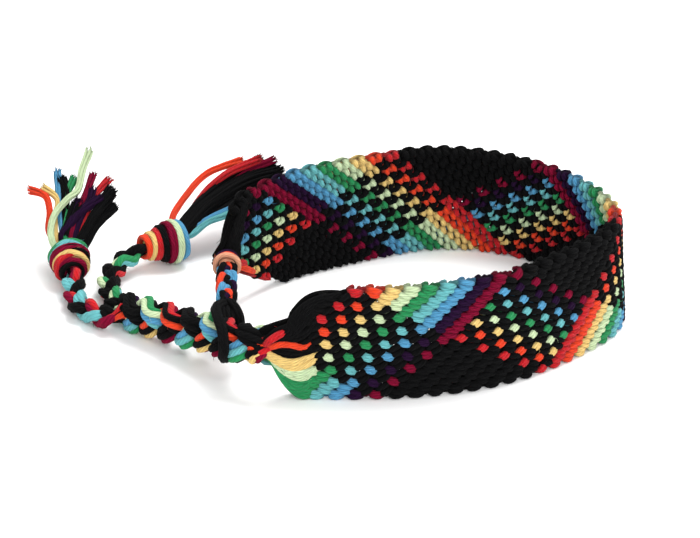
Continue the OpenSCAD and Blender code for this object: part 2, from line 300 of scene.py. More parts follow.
class YarnMesh:
    """Collects round yarns, each with its finish, and turns them into one mesh."""

    def __init__(self):
        self.points, self.faces, self.finish, self.yarn_uv, self.radii, self.openness = [], [], [], [], [], []
        self.count = 0
        self.finishes = []

    def add(self, line, radius, finish, sides=8, closed=False, across=None, face=None):
        """A yarn along a row of points. radius is one number or one for each point.
        face is (distance out of the band, way out of it) at each point, for how open each place is to the light;
        shut places are painted darker as painted shade."""
        line = np.asarray(line, float)
        n = len(line)
        radius = np.broadcast_to(np.asarray(radius, float), (n,)).copy()
        if closed:
            along = unit(np.roll(line, -1, 0) - np.roll(line, 1, 0))
        else:
            along = unit(np.gradient(line, axis=0))
        if across is None:
            side = np.empty_like(line)
            x = np.array((0.13, 0.21, 1.0))
            if abs(along[0] @ unit(x)) > 0.9:
                x = np.array((1.0, 0.2, 0.1))
            for i in range(n):
                x = x - (x @ along[i]) * along[i]
                x = x / max(math.sqrt(x @ x), 1e-9)
                side[i] = x
        else:
            side = np.broadcast_to(np.asarray(across, float), line.shape)
            side = unit(side - (side * along).sum(1, keepdims=True) * along)
        other = np.cross(along, side)
        turn = 2 * math.pi * np.arange(sides) / sides
        rings = (line[:, None, :]
                 + (radius[:, None] * np.cos(turn))[:, :, None] * side[:, None, :]
                 + (radius[:, None] * np.sin(turn))[:, :, None] * other[:, None, :])
        if face is None:
            open_air = np.ones((n, sides))
        else:
            out = face[0][:, None] + ((rings - line[:, None, :]) * face[1][:, None, :]).sum(2)
            out = np.where(out < 0, -INNER_LIFT * out, out)
            open_air = np.clip((out - SHUT_WITHIN) / OPENS_OVER, 0, 1)
            open_air = open_air * open_air * (3 - 2 * open_air)
        self.openness.append(open_air.ravel())
        base = self.count
        self.points.append(rings.reshape(-1, 3))
        self.count += n * sides
        step = np.linalg.norm(np.roll(line, -1, 0) - line, axis=1)
        gone = np.concatenate([[0.0], np.cumsum(step)])
        spans = n if closed else n - 1
        i, k = np.meshgrid(np.arange(spans), np.arange(sides), indexing="ij")
        i, k = i.ravel(), k.ravel()
        j, m = (i + 1) % n, (k + 1) % sides
        here, there = base + i * sides, base + j * sides
        quads = np.stack([here + m, there + m, there + k, here + k], 1)
        self.faces.append(quads)
        v0, v1, u0, u1 = gone[i], gone[i + 1], k / sides, (k + 1) / sides
        corners = ((u1, v0), (u1, v1), (u0, v1), (u0, v0))
        self.yarn_uv.append(np.stack([np.stack(corner, 1) for corner in corners], 1))
        if finish not in self.finishes:
            self.finishes.append(finish)
        index = self.finishes.index(finish)
        self.finish.append(np.full(len(quads), index))
        self.radii.append(float(radius.mean()))
        if not closed:
            for end, order in ((0, 1), (n - 1, -1)):
                self.cap(line[end] + (-along[0] if end == 0 else along[-1]) * radius[end] * END_BULGE,
                         base + end * sides, sides, order, index, gone[end], radius[end])

    def cap(self, tip, first, sides, order, index, v, radius):
        self.points.append(np.array([tip]))
        self.openness.append(np.ones(1))
        top = self.count
        self.count += 1
        k = np.arange(sides)
        m = (k + 1) % sides
        a, b = (first + k, first + m) if order == 1 else (first + m, first + k)
        tris = np.stack([a, b, np.full(sides, top), np.full(sides, top)], 1)
        self.faces.append(tris)
        self.finish.append(np.full(sides, index))
        uv = np.zeros((sides, 4, 2))
        uv[:, 0] = np.stack([k / sides, np.full(sides, v)], 1)
        uv[:, 1] = np.stack([(k + 1) / sides, np.full(sides, v)], 1)
        uv[:, 2:] = np.stack([(k + 0.5) / sides, np.full(sides, v + radius)], 1)[:, None]
        self.yarn_uv.append(uv)
        self.radii.append(radius)

    def layout(self):
        """A flat layout of all yarns side by side in rows, for each face's four corners."""
        spans = []
        for uv, radius in zip(self.yarn_uv, self.radii):
            v = uv[:, :, 1]
            spans.append((v.min(1), v.max(1), 2 * math.pi * radius, uv))
        tall = max(s[2] for s in spans)
        longest = max(float((s[1] - s[0]).max()) for s in spans)
        total = sum(float(s[1].max() - s[0].min()) for s in spans)
        rows = max(1, math.ceil(math.sqrt(total / tall)))
        width = total / rows + longest
        made, gone = [], 0.0
        for low, high, _, uv in spans:
            start = low.min()
            place = gone + low - start
            row = np.floor(place / (total / rows + 1e-9))
            x = (place - row * (total / rows))[:, None] + uv[:, :, 1] - low[:, None]
            y = (row[:, None] + ROW_MARGIN + (1 - 2 * ROW_MARGIN) * uv[:, :, 0]) / (rows + 1)
            made.append(np.stack([x / width * (1 - 2 * SIDE_MARGIN) + SIDE_MARGIN, y], 2))
            gone += float(high.max() - start)
        return np.concatenate(made)

    def piece(self, name, slot, nodes):
        """The finished Blender object, which rides on the bracelet and stands for CAD nodes."""
        points = np.concatenate(self.points) * MM
        faces = np.concatenate(self.faces)
        yarn, flat, finish = np.concatenate(self.yarn_uv), self.layout(), np.concatenate(self.finish)
        is_tri = faces[:, 2] == faces[:, 3]
        size = np.where(is_tri, 3, 4)
        keep = np.ones(faces.shape, bool)
        keep[is_tri, 3] = False
        mesh = bpy.data.meshes.new(name)
        mesh.vertices.add(len(points))
        mesh.vertices.foreach_set("co", points.astype(np.float32).ravel())
        mesh.loops.add(int(size.sum()))
        mesh.loops.foreach_set("vertex_index", faces[keep].astype(np.int32))
        mesh.polygons.add(len(faces))
        mesh.polygons.foreach_set("loop_start", np.concatenate([[0], np.cumsum(size)[:-1]]).astype(np.int32))
        mesh.polygons.foreach_set("material_index", finish.astype(np.int32))
        mesh.polygons.foreach_set("use_smooth", np.ones(len(faces), bool))
        mesh.uv_layers.new(name="yarn").data.foreach_set("uv", yarn[keep].astype(np.float32).ravel())
        mesh.uv_layers.new(name="OFBake").data.foreach_set("uv", flat[keep].astype(np.float32).ravel())
        mesh.attributes.new("openness", "FLOAT", "POINT").data.foreach_set(
            "value", np.concatenate(self.openness).astype(np.float32))
        mesh.update(calc_edges=True)
        for f in self.finishes:
            mesh.materials.append(cotton(f))
        piece = bpy.data.objects.new(name, mesh)
        bpy.context.scene.collection.objects.link(piece)
        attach(piece, "root")
        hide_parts(*nodes)
        return piece


def stray_fibres(made, line, radius, finish, rng, count):
    """Fine loose fibres that leave a yarn, bend over and end in the air."""
    steps = np.array((0, FIBRE_BEND, 1))[:, None]
    for _ in range(count):
        at = int(rng.integers(4, len(line) - 4))
        way = unit(rng.normal(0, 1, 3))
        along = unit(line[at + 1] - line[at - 1])
        way = unit(way - (way @ along) * along)
        reach = rng.uniform(*FIBRE_REACH)
        bend = unit(along * rng.choice((-1, 1)) + rng.normal(0, 0.3, 3))
        points = (line[at] + way * (radius * 0.8 + reach * steps * (1 - 0.35 * steps))
                  + bend * reach * steps ** 2 * 0.9)
        if points[:, 2].min() > FIBRE_LOWEST:
            made.add(points, FIBRE_RADIUS, finish, sides=3)


# ---------------------------------------------------------------- finishes


def node(tree, kind, **inputs):
    """A shader node; inputs are plain values or output sockets, by input name or index."""
    made = tree.nodes.new(kind)
    for key, value in inputs.items():
        key = int(key[1:]) if key[0] == "_" else key.replace("_", " ")
        if isinstance(value, bpy.types.NodeSocket):
            tree.links.new(value, made.inputs[key])
        else:
            made.inputs[key].default_value = value
    return made


def twisted_yarn_group():
    """Plies and fibres of a twisted yarn, from how far round and along it a point is."""
    name = "Twisted yarn"
    if name in bpy.data.node_groups:
        return bpy.data.node_groups[name]
    tree = bpy.data.node_groups.new(name, "ShaderNodeTree")

    def calc(operation, a, b=0.0, c=0.0):
        made = node(tree, "ShaderNodeMath", _0=a, _1=b, _2=c)
        made.operation = operation
        return made.outputs[0]

    def mix_colours(way, share, a, b):
        made = tree.nodes.new("ShaderNodeMix")
        made.data_type = "RGBA"
        made.blend_type = way
        made.clamp_factor = True
        if share is None:
            made.inputs["Factor"].default_value = 1
        else:
            tree.links.new(share, made.inputs["Factor"])
        tree.links.new(a, made.inputs[6])
        tree.links.new(b, made.inputs[7])
        return made.outputs[2]

    for label, kind, value in (("Map", "Vector", None), ("Dark", "Color", None), ("Light", "Color", None),
                               ("Turns", "Float", 0.17), ("Plies", "Float", 6.0), ("Streaks", "Float", 5.0),
                               ("Openness", "Float", 1.0)):
        made = tree.interface.new_socket(name=label, in_out="INPUT", socket_type="NodeSocket" + kind)
        if value is not None:
            made.default_value = value
    for label, kind in (("Colour", "Color"), ("Roughness", "Float"), ("Height", "Float")):
        tree.interface.new_socket(name=label, in_out="OUTPUT", socket_type="NodeSocket" + kind)
    into, out = tree.nodes.new("NodeGroupInput"), tree.nodes.new("NodeGroupOutput")

    # The angle round the yarn, which the twist turns on along it
    apart = node(tree, "ShaderNodeSeparateXYZ", _0=into.outputs["Map"])
    turned = calc("MULTIPLY_ADD", apart.outputs["Y"], into.outputs["Turns"], apart.outputs["X"])
    angle = calc("MULTIPLY", turned, 2 * math.pi)
    # Round backs of the plies, with a groove between each two
    ply = calc("ABSOLUTE", calc("SINE", calc("MULTIPLY", angle, calc("MULTIPLY", into.outputs["Plies"], 0.5))))
    back = calc("POWER", ply, 0.55)
    # Fibres that run with the plies, drawn out along them, and patches of a lighter and darker dye
    fibre_map = node(tree, "ShaderNodeCombineXYZ", _0=calc("COSINE", angle), _1=calc("SINE", angle),
                     _2=calc("MULTIPLY", apart.outputs["Y"], 0.11)).outputs[0]
    fibres = node(tree, "ShaderNodeTexNoise", Vector=fibre_map, Scale=into.outputs["Streaks"], Detail=4.0,
                  Roughness=0.7).outputs[0]
    patches = node(tree, "ShaderNodeTexNoise", Vector=fibre_map, Scale=1.3, Detail=2.0, Roughness=0.5).outputs[0]
    # Height, share of the light colour (fibres and dye patches, with the grooves between the plies painted darker as
    # painted shade), and roughness
    height = calc("MULTIPLY_ADD", fibres, 0.75, calc("MULTIPLY", back, 0.55))
    tone_and_groove_shade = calc("MULTIPLY_ADD", fibres, 0.9, calc("MULTIPLY_ADD", back, 0.35,
                                                  calc("MULTIPLY_ADD", patches, 0.6, -0.55)))
    rough = calc("MULTIPLY_ADD", fibres, -0.25, 0.98)
    # Painted shade: places shut in between the knots, where little light reaches, are painted darker
    painted_crevice_shade = calc("MULTIPLY_ADD", into.outputs["Openness"], 0.72, 0.28)
    shade = node(tree, "ShaderNodeCombineXYZ", _0=painted_crevice_shade, _1=painted_crevice_shade, _2=painted_crevice_shade).outputs[0]
    colour = mix_colours("MIX", tone_and_groove_shade, into.outputs["Dark"], into.outputs["Light"])
    tree.links.new(mix_colours("MULTIPLY", None, colour, shade), out.inputs["Colour"])
    tree.links.new(rough, out.inputs["Roughness"])
    tree.links.new(height, out.inputs["Height"])
    return tree


# Yarns so dark that a sheen would turn them grey
DARK = ("black", "purple", "maroon")


def cotton(name):
    """The finish of one yarn colour."""
    label = "cotton_" + name
    if label in bpy.data.materials:
        return bpy.data.materials[label]
    scene = bpy.context.scene
    rgb = tuple(getattr(scene.bracelet_colours, name))
    material = bpy.data.materials.new(label)
    material.use_nodes = True
    tree = material.node_tree
    shader = tree.nodes["Principled BSDF"]
    dark = name in DARK
    shader.inputs["Specular IOR Level"].default_value = 0.05 if dark else 0.18
    shader.inputs["Sheen Weight"].default_value = 0.02 if dark else 0.16
    shader.inputs["Sheen Roughness"].default_value = 0.45
    shader.inputs["Sheen Tint"].default_value = (*(min(1.0, 0.45 + 0.55 * c) for c in rgb), 1)
    way = tree.nodes.new("ShaderNodeUVMap")
    way.uv_map = "yarn"
    yarn = tree.nodes.new("ShaderNodeGroup")
    yarn.node_tree = twisted_yarn_group()
    tree.links.new(way.outputs[0], yarn.inputs["Map"])
    # The openness stored on the mesh paints shade into the colour of places shut in between the knots
    open_air = tree.nodes.new("ShaderNodeAttribute")
    open_air.attribute_name = "openness"
    tree.links.new(open_air.outputs["Fac"], yarn.inputs["Openness"])
    # Span from the dark to the light colour, over which the fibres, the dye patches and the painted shade of the ply
    # grooves range
    deep, bright, haze = (0.3, 1.5, 0.0008) if dark else (0.5, 1.15, 0.006)
    yarn.inputs["Dark"].default_value = (*(c * deep for c in rgb), 1)
    yarn.inputs["Light"].default_value = (*(min(1.0, c * bright + haze) for c in rgb), 1)
    yarn.inputs["Turns"].default_value = scene.bracelet_sizes.twist
    yarn.inputs["Plies"].default_value = 6
    yarn.inputs["Streaks"].default_value = 5
    bump = node(tree, "ShaderNodeBump", Strength=0.85, Distance=0.00035, Height=yarn.outputs["Height"])
    tree.links.new(yarn.outputs["Colour"], shader.inputs["Base Color"])
    tree.links.new(yarn.outputs["Roughness"], shader.inputs["Roughness"])
    tree.links.new(bump.outputs[0], shader.inputs["Normal"])
    return material


# ---------------------------------------------------------------- band


# One knot's yarn round the other yarn, with columns (share of the half length, across, out), in millimetres:
# over the outer face, down and up behind, and over the outer face again
KNOT_WRAPS = (
    (-1.0, -0.22, -0.1), (-0.56, -0.4, 0.6), (0, -0.42, 0.8), (0.56, -0.38, 0.6), (1.0, -0.22, -0.1),
    (0.42, -0.5, -0.5), (0.6, 0.0, -0.8), (0.42, 0.48, -0.5), (1.0, 0.22, -0.1), (0.56, 0.4, 0.6), (0, 0.42, 0.8),
    (-0.56, 0.38, 0.6), (-1.0, 0.22, -0.1), (-0.42, 0.48, -0.5), (-0.6, 0.0, -0.8), (-0.42, -0.5, -0.5),
)
# Length, height and thickness of shown knots: between yarns of one kind, and black or coloured ones of a mixed pair
EVEN_KNOT, BLACK_KNOT, COLOURED_KNOT = (1.0, 1.0, 1.0), (1.08, 1.36, 1.0), (0.94, 0.68, 0.94)
# Length and thickness of a knot's parts on the inner face
INNER_LENGTH, INNER_SHARE = 0.98, 0.95
# How much more a falling yarn's knot leans than a rising one's, and how uneven the knots are
FALLING_LEAN = 1.6
UNEVEN = {"tilt": 0.05, "size": 0.04, "along": 0.05, "height": 0.04}
# Thickness of a yarn inside another's knot, and where it turns at the band's edge
CORE_SHARE, EDGE_SHARE = 0.86, 0.9
# Thickness of the black and of the coloured yarns, and how far above the floor the lowest ones stay
BLACK_FULLNESS, COLOURED_FULLNESS, FLOOR_GAP = 1.06, 0.98, 0.02
# Where the knots begin, how far before the far tip they end,
# and up to where and from which height black yarns cover the coloured ones
LOOSE_TO, LOOSE_FROM, BLACK_TO, BLACK_FROM_Z = 6.2, 3.2, 8.6, 9.6
# Places across the band where a yarn turns back at the lower and at the upper edge
TURN_PLACES = (0.02, 16.98)
# How far inside the edges stay a knot's middle, a turning yarn, and a yarn on its way to its first knot
KNOT_ROOM, TURN_ROOM, WAY_ROOM = 0.5, 0.62, 0.8
# How a yarn leaves the front tip, with columns (distance past the tip, half the height of all yarns, thickness),
# how far out of the band's middle black and coloured ones do, and the parts of the way to its first knot
FRONT_END, FRONT_END_Z = ((2.4, 1.664, 0.5), (0.6, 3.536, 0.9)), 9.3
BLACK_OUT, COLOURED_OUT = -0.4, 0.2
FIRST_WAY = (0.3, 0.62, 0.86)
# How it leaves the far tip, with columns (distance past the tip, half the height of all yarns, out, thickness)
FAR_END, FAR_END_Z = ((0.9, 2.09, 0.5, 0.72), (2.2, 0.66, 0.3, 0.5)), 9.9


def place_of(row, start):
    """Place from 0 to 17 across the band that a yarn has before a row, going up, then down."""
    at = (row - start) % (2 * STRINGS)
    return at if at < STRINGS else 2 * STRINGS - 1 - at


def band_yarns():
    """Each yarn of the band: its name, its finish and the row at which it last stood lowest."""
    coloured = [(name, name, 2 * i) for i, name in enumerate(COLOURED)]
    return coloured + [("black_%d" % (i + 1), "black", STRINGS + 2 * i) for i in range(STRINGS // 2)]


def knot_place(row, place):
    """Distance along the band and height of a knot, or of a yarn between knots."""
    table = np.array(ROW_SLANT)
    slant = np.interp(row, table[:, 0], table[:, 1])
    s = (row + slant * (place - MIDDLE_PLACE) - TIP_ROW) * ROW_STEP
    return s, MIDDLE_Z + (place - MIDDLE_PLACE) * PLACE_STEP


def held_inside(s, z, room):
    """A height kept so far inside the band's edges."""
    low, high = edges_at(s)
    return min(max(z, low + room), high - room)


def knots_of(start, is_black, kinds):
    """What one yarn does row by row: (what, row, place, whether it climbs, whether both yarns are of one kind).
    It shows as a knot, runs as the core inside another yarn's knot, or waits at the band's edge."""
    found = []
    for row in range(FIRST_ROW, LAST_ROW):
        here, after = place_of(row, start), place_of(row + 1, start)
        if here == after:
            if found:
                found.append(("wait", row, TURN_PLACES[0 if here == 0 else 1], False, False))
            continue
        place, rising = (here + after) / 2, after > here
        s, z = knot_place(row, place)
        low, high = edges_at(s)
        if not (LOOSE_TO <= s <= LINE.length - LOOSE_FROM and low + KNOT_ROOM <= z <= high - KNOT_ROOM):
            continue
        other = [black for begun, black in kinds if begun != start and place_of(row, begun) == after][0]
        alike = other == is_black
        if alike:
            shown = rising
        elif s < BLACK_TO and z >= BLACK_FROM_Z:
            shown = is_black
        else:
            shown = is_black == (row % 2 == 1)
        found.append(("knot" if shown else "core", row, place, rising, alike))
    while found[-1][0] == "wait":
        found.pop()
    return found


def band_yarn_path(start, is_black, kinds, rng, half, lean):
    """Points [distance along, height, out, thickness] of one yarn through the whole band."""
    found = knots_of(start, is_black, kinds)
    path = []
    spread = (found[0][2] - MIDDLE_PLACE) / (STRINGS / 2)
    for past, tall, share in FRONT_END:
        out = (BLACK_OUT if is_black else COLOURED_OUT) * rng.uniform(0.5, 1)
        path.append((-past, FRONT_END_Z + spread * tall, out, share))
    tip, tip_z = path[-1][:2]
    s, z = knot_place(*found[0][1:3])
    for f in FIRST_WAY:
        at = mixed(tip, s, f)
        path.append((at, held_inside(at, mixed(tip_z, z, f), WAY_ROOM), -0.3 if z < BLACK_FROM_Z else 0, EDGE_SHARE))
    for what, row, place, rising, alike in found:
        s, z = knot_place(row, place)
        if what == "wait":
            path.append((s, held_inside(s, z, TURN_ROOM), 0.0, EDGE_SHARE))
        elif what == "core":
            path.append((s, z, 0.0, CORE_SHARE))
        else:
            tilt = (-lean if rising else FALLING_LEAN * lean) + rng.normal(0, UNEVEN["tilt"])
            size = rng.normal(1, UNEVEN["size"])
            s += rng.normal(0, UNEVEN["along"])
            z += rng.normal(0, UNEVEN["height"])
            long, high, full = EVEN_KNOT if alike else BLACK_KNOT if is_black else COLOURED_KNOT
            c, d = math.cos(tilt), math.sin(tilt)
            for along, across, out in KNOT_WRAPS:
                outer = out > -0.2
                a = along * half * size * (long if outer else INNER_LENGTH)
                b = across * size * (high if outer else 1.0)
                path.append((s + a * c - b * d, z + a * d + b * c, out * full,
                             full if out > 0 else INNER_SHARE * full))
    spread = (found[-1][2] - MIDDLE_PLACE) / (STRINGS / 2)
    for past, tall, out, share in FAR_END:
        path.append((LINE.length + past, FAR_END_Z + spread * tall, out * rng.uniform(-1, 1), share))
    return path


# Doubled yarns that lie loose over the tips, with columns (distance from the tip, height)
FRONT_YARNS = (
    ("black", ((-1, 10.1), (1.3, 12.1), (3.2, 13), (3.9, 14.4), (5.4, 16.3), (7, 17.5), (9, 18.2), (12, 18.6))),
    ("black", ((-1, 9.9), (1.4, 11.4), (3.5, 12.3), (4.6, 13.9), (6, 15.6), (7.6, 16.7), (10, 17.4))),
    ("black", ((-1, 9.7), (1.7, 10.8), (3.8, 11.7), (5.3, 13.3), (6.9, 14.9), (8.6, 15.9))),
    ("black", ((-1, 9.6), (2.2, 10.9), (4.6, 11.3), (6.4, 12.4), (8.4, 14.1))),
    ("black", ((-0.6, 8.9), (1.8, 9.1), (4.2, 8.9), (6.2, 8.8), (8, 9.3))),
    ("black", ((-0.4, 8.7), (2, 8.3), (4.4, 8.1), (6.4, 8.2))),
    ("crimson", ((-0.9, 9.1), (0, 10.3), (1.3, 11.4), (2.4, 12), (3.2, 12.1))),
    ("orange_red", ((-0.9, 8.9), (0.6, 9.4), (2, 10), (3.5, 10.1), (5.1, 9.6), (6.2, 9.6), (7.2, 10.3))),
    ("green", ((-0.3, 7.7), (0.9, 6.9), (1.8, 5.8), (2.8, 4.6), (3.9, 3.1), (5, 2), (6.3, 1.5), (7.6, 2))),
    ("green", ((-0.3, 7.5), (0.9, 6.4), (1.7, 5.1), (2.6, 3.7), (3.6, 2.4), (4.7, 1.3), (6, 0.7), (7.3, 0.9))),
    ("green", ((0, 7.6), (1.2, 6.4), (2.5, 5.1), (3.8, 4), (5, 3.3), (6.3, 3.3), (7.6, 3.9))),
    ("green", ((0.5, 7), (2, 5.2), (3.3, 3.6), (4.4, 2.6), (5.7, 2.3), (7, 2.8))),
    ("pale_green", ((0.2, 7.6), (1.2, 6.9), (3.1, 5.8), (5.1, 5.3), (6.7, 5.3), (8, 5.7))),
    ("pale_green", ((0.2, 7.4), (1.2, 6.5), (2.8, 5.2), (4.4, 4.4), (6, 4.2), (7.3, 4.9))),
    ("peach", ((-0.6, 8.8), (-0.1, 8.4), (1.9, 7.5), (3.6, 7.1), (5.2, 7.3), (6.5, 7.8), (7.8, 8.2))),
    ("peach", ((-0.6, 8.6), (-0.1, 8), (2, 6.7), (3.9, 6.1), (5.6, 6.3), (7, 6.9), (8, 7.5))),
)
FAR_YARNS = (
    ("black", ((-0.5, 10.2), (0.8, 12.4), (1.9, 14.6), (3.4, 16.8), (5.2, 18.4), (8, 19))),
    ("black", ((-0.5, 10), (1.2, 12), (2.6, 14), (4.2, 16), (6.4, 17.6))),
    ("black", ((-0.5, 9.9), (1.6, 11.4), (3.2, 13), (4.8, 14.8))),
    ("black", ((-0.5, 9.8), (1.8, 10.4), (3.4, 11.4))),
    ("black", ((-0.4, 9.6), (1.8, 9.3), (3.4, 9.4))),
    ("orange_red", ((-0.3, 9), (1.6, 7.9), (3.6, 6.8), (5.6, 5.5), (7, 4.6))),
    ("crimson", ((-0.3, 9.2), (1.5, 8.6), (3.4, 7.8), (5, 7))),
)


# How far out of the band's middle they start, how much higher each lies than the one before,
# their thickness at the ends and in the middle, and how far the two yarns of a pair lie to each side
LOOSE_OUT, LOOSE_LIFT = 0.1, 0.03
LOOSE_SHARES = (0.55, 0.85)
APART = 0.37
LOOSE_APART = {"orange_red": 0.2, "crimson": 0.3, "peach": 0.24, "pale_green": 0.3}


class BRACELET_OT_tips(bpy.types.Operator):
    """Lays the loose doubled yarns over the band's two tips, on both faces"""
    bl_idname = "bracelet.tips"
    bl_label = "Tips"

    def execute(self, context):
        radius = context.scene.bracelet_sizes.knot_yarn / MM / 2
        for number, (name, start, way, yarns) in enumerate((
                ("front", 0.0, 1, FRONT_YARNS), ("far", LINE.length, -1, FAR_YARNS))):
            made = YarnMesh()
            rng = chance("tips", number)
            for face in (1, -1):
                for order, (finish, route) in enumerate(yarns):
                    fine = smooth_route(route, 4)
                    rise = np.sqrt(np.sin(math.pi * np.linspace(0, 1, len(fine))))
                    out = face * (LOOSE_OUT + rise * (1 + LOOSE_LIFT * order))
                    apart = LOOSE_APART.get(finish, APART)
                    for shift in (-apart, apart):
                        line = np.array([LINE.place(start + way * a, b + shift * c, d)
                                         for (a, b), c, d in zip(fine, rise, out)])
                        line[:, 2] = np.maximum(line[:, 2], radius)
                        made.add(line, radius * mixed(*LOOSE_SHARES, rise), finish)
                        stray_fibres(made, line, radius, finish, rng, 4)
            made.piece(name + "_tip_yarns", "mixed_yarn", ["band"])
        return {"FINISHED"}


class BRACELET_OT_band(bpy.types.Operator):
    """Knots the band out of eighteen yarns"""
    bl_idname = "bracelet.band"
    bl_label = "Knotted band"

    def execute(self, context):
        sizes = context.scene.bracelet_sizes
        radius = sizes.knot_yarn / MM / 2
        yarns = band_yarns()
        kinds = [(start, finish == "black") for _, finish, start in yarns]
        for number, (name, finish, start) in enumerate(yarns):
            rng = chance("band", number)
            path = np.array(band_yarn_path(
                start, finish == "black", kinds, rng, sizes.knot_length / MM / 2, sizes.knot_lean))
            fine = smooth_route(path, 2)
            line = np.array([LINE.place(*p[:3]) for p in fine])
            outer = unit(np.array([LINE.place(p[0], p[1], p[2] + 0.1) for p in fine]) - line)
            thick = fine[:, 3] * radius * (BLACK_FULLNESS if finish == "black" else COLOURED_FULLNESS)
            line[:, 2] = np.maximum(line[:, 2], thick + FLOOR_GAP)
            made = YarnMesh()
            made.add(line, thick, finish, sides=7, face=(fine[:, 2], outer))
            stray_fibres(made, line, radius, finish, rng, sizes.stray_fibres)
            made.piece("band_yarn_" + name, YARNS[finish][1], ["band"])
        return {"FINISHED"}


# ---------------------------------------------------------------- braids


def braid_line(route, roll, number, swing, depth, pitch, steps_per_pitch=24):
    """Middle of one strand of a three-strand braid, with the braid's two directions across at each point."""
    length = route_length(route)
    last = len(route) - 1
    steps = round(length / pitch * steps_per_pitch)
    u = np.arange(steps + 1) / steps * last
    small = 0.05
    along = unit(spline(route, np.minimum(u + small, last)) - spline(route, np.maximum(u - small, 0)))
    level = unit(np.cross(along, (0, 0, 1)))
    rise = np.cross(level, along)
    r = np.radians(mixed(roll[0], roll[1], u / last))[:, None]
    side = np.cos(r) * level + np.sin(r) * rise
    out = np.cos(r) * rise - np.sin(r) * level
    turn = 2 * math.pi * (u / last * length / pitch + number / 3)[:, None]
    middle = (spline(route, u) + side * swing * (np.sin(turn) + 0.04 * np.sin(3 * turn))
              + out * depth * np.sin(2 * turn))
    return middle, side, out, turn[:, 0]


# A bundle of yarns: how far it leans and turns to and fro, in radians, how much it spreads where it crosses
# the middle of the braid, how wide and how thick it is pressed, and how its yarns wander
BUNDLE_LEAN, BUNDLE_TURN, BUNDLE_SPREAD, BUNDLE_WIDE, BUNDLE_THICK, WANDER = 0.35, 0.5, 0.14, 1.12, 0.84, 0.015
# Where a yarn runs into what the braid joins: shares of the way from inside it, and the yarn's thickness there
RUNS_IN, RUNS_IN_SHARES = (0.0, 0.35, 0.7), (0.85, 0.9, 0.96)


def braid_strand(made, route, roll, number, braid, places, finishes, radius, rng, comes_from, goes_to):
    """One strand as a bundle of yarns. places are the yarns' places in the bundle, across and out.
    comes_from and goes_to are points inside what the braid joins, one of which each yarn runs into."""
    middle, side, out, turn = braid_line(route, roll, number, **braid)
    along = unit(np.gradient(middle, axis=0))
    flat = unit(side - (side * along).sum(1, keepdims=True) * along)
    thick = np.cross(flat, along)
    thick *= np.sign((thick * out).sum())
    angle = BUNDLE_LEAN * np.cos(turn) ** 3 + BUNDLE_TURN * np.sin(turn)
    spread = (1 + BUNDLE_SPREAD * np.cos(2 * turn))[:, None]
    c, s = np.cos(angle)[:, None], np.sin(angle)[:, None]
    for index, ((a, b), finish) in enumerate(zip(places, finishes)):
        wander = np.cumsum(rng.normal(0, WANDER, (len(middle), 2)), axis=0)
        wander -= wander.mean(0)
        line = (middle + flat * ((a * c - b * s) * spread * BUNDLE_WIDE + wander[:, :1])
                + thick * ((a * s + b * c) * BUNDLE_THICK / spread + wander[:, 1:]))
        size = np.full(len(line), radius * rng.normal(1, 0.03))
        for points, first in ((comes_from, True), (goes_to, False)):
            point = np.array(points[index % len(points)], float) + rng.normal(0, 0.25, 3)
            end = line[0] if first else line[-1]
            extra = np.array([mixed(point, end, f) for f in RUNS_IN])
            line = np.vstack([extra, line] if first else [line, extra[::-1]])
            thinner = np.array(RUNS_IN_SHARES) * size[0]
            size = np.concatenate([thinner, size] if first else [size, thinner[::-1]])
        made.add(line, size, finish, sides=9)
        stray_fibres(made, line, radius, finish, rng, round(len(line) / 6))


def braid_pieces(name, node_name, group, strands, radius, route, roll, braid, places, comes_from, goes_to):
    """The three strands of a braid, each a piece that stands for its CAD node. Strands are (slot, finishes)."""
    for number, (slot, finishes) in enumerate(strands, 1):
        made = YarnMesh()
        braid_strand(made, route, roll, number, braid, places, finishes, radius, chance(group, number),
                     comes_from, goes_to)
        made.piece("%s_%d" % (name, number), slot, ["%s_%d" % (node_name, number)])


# Places of the yarns in a bundle, across and out, in millimetres
SEVEN = ((0.0, 0.0), *((math.cos(k * math.pi / 3), math.sin(k * math.pi / 3)) for k in range(6)))
THREE = ((0.36, 0.1), (-0.36, 0.12), (0.0, -0.3))
EYE_SIX = ((-0.5, 0.0), (-0.24, 0.42), (-0.24, -0.42), (0.26, 0.42), (0.26, -0.42), (0.52, 0.0))
# Way across the eye's bundle
EYE_ACROSS = (1, 0.15, 0)
# How much fuller a pressed yarn is than a loose one, in the tie braid and the thin braids
TIE_FULLNESS, THIN_FULLNESS = 1.14, 1.32
# Thickness of the yarns round the eye and of those inside it, and how far apart these lie
EYE_SHARE, INNER_EYE_SHARE, INNER_EYE_GAP = 0.74, 0.9, 0.7
# Points inside the front tip and inside the loop's knot, from which the braids' yarns come
INSIDE_FRONT_TIP, INSIDE_LOOP_KNOT = (-6.8, -34.6, 9.3), (-15.6, -5, 9.9)


# The strands of each braid: slot name, and the colours of the bundle's yarns
TIE_STRANDS = (
    ("green_yarn", ("black", "pale_green", "sky_blue", "aqua", "green", "black", "green")),
    ("red_yarn", ("black", "black", "orange_red", "black", "peach", "maroon", "crimson")),
    ("black_yarn", ("black", "black", "black", "black", "maroon", "purple", "black")),
)
LEFT_STRANDS = (
    ("blue_yarn", ("aqua", "aqua", "aqua")),
    ("red_yarn", ("crimson", "maroon", "maroon")),
    ("black_yarn", ("black", "black", "black")),
)
RIGHT_STRANDS = (
    ("black_yarn", ("black", "black", "black")),
    ("green_yarn", ("green", "pale_green", "aqua")),
    ("red_yarn", ("black", "black", "crimson")),
)
LOOP_STRANDS = (
    ("blue_yarn", ("sky_blue", "sky_blue", "aqua")),
    ("red_yarn", ("orange_red", "black", "maroon")),
    ("black_yarn", ("black", "purple", "black")),
)


